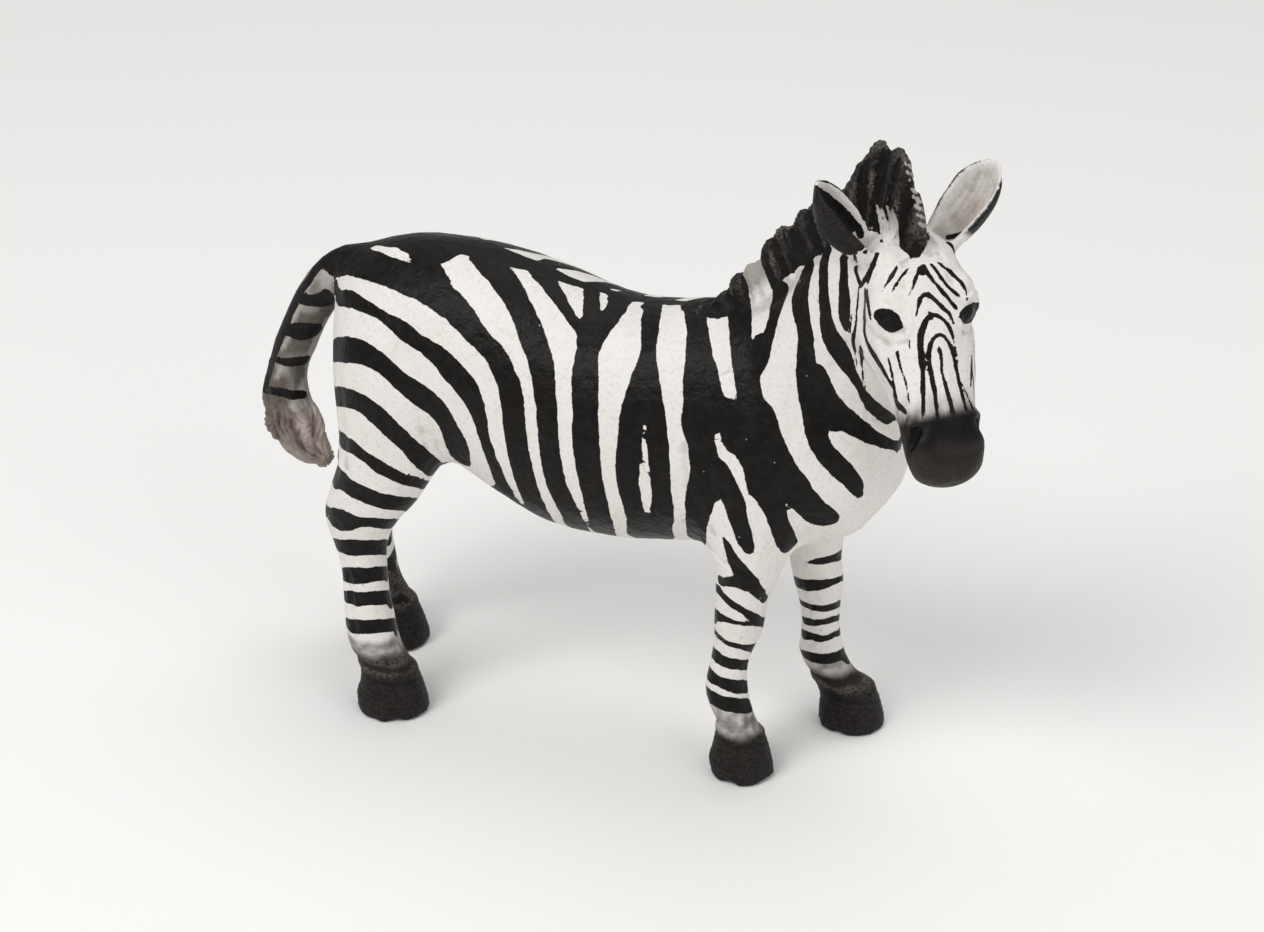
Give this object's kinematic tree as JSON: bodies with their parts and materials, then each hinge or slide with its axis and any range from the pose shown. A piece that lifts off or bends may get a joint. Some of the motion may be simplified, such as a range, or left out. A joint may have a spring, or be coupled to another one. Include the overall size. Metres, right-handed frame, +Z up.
{
  "type": "zebra figurine",
  "caption": "Standing zebra figurine moulded in one piece, head turned to its right, with upright mane, tufted tail and flat soles.",
  "frame": {"origin": "on the ground, below the middle of the figure's bounding box", "axes": "+X the way the animal looks along its body, +Y its left, +Z up"},
  "size_m": [0.1416, 0.0462, 0.1209],
  "materials": {
    "painted_vinyl": "solid PVC, hand painted in satin black and white"
  },
  "bodies": {
    "root": {"zebra": "painted_vinyl"}
  },
  "joints": []
}
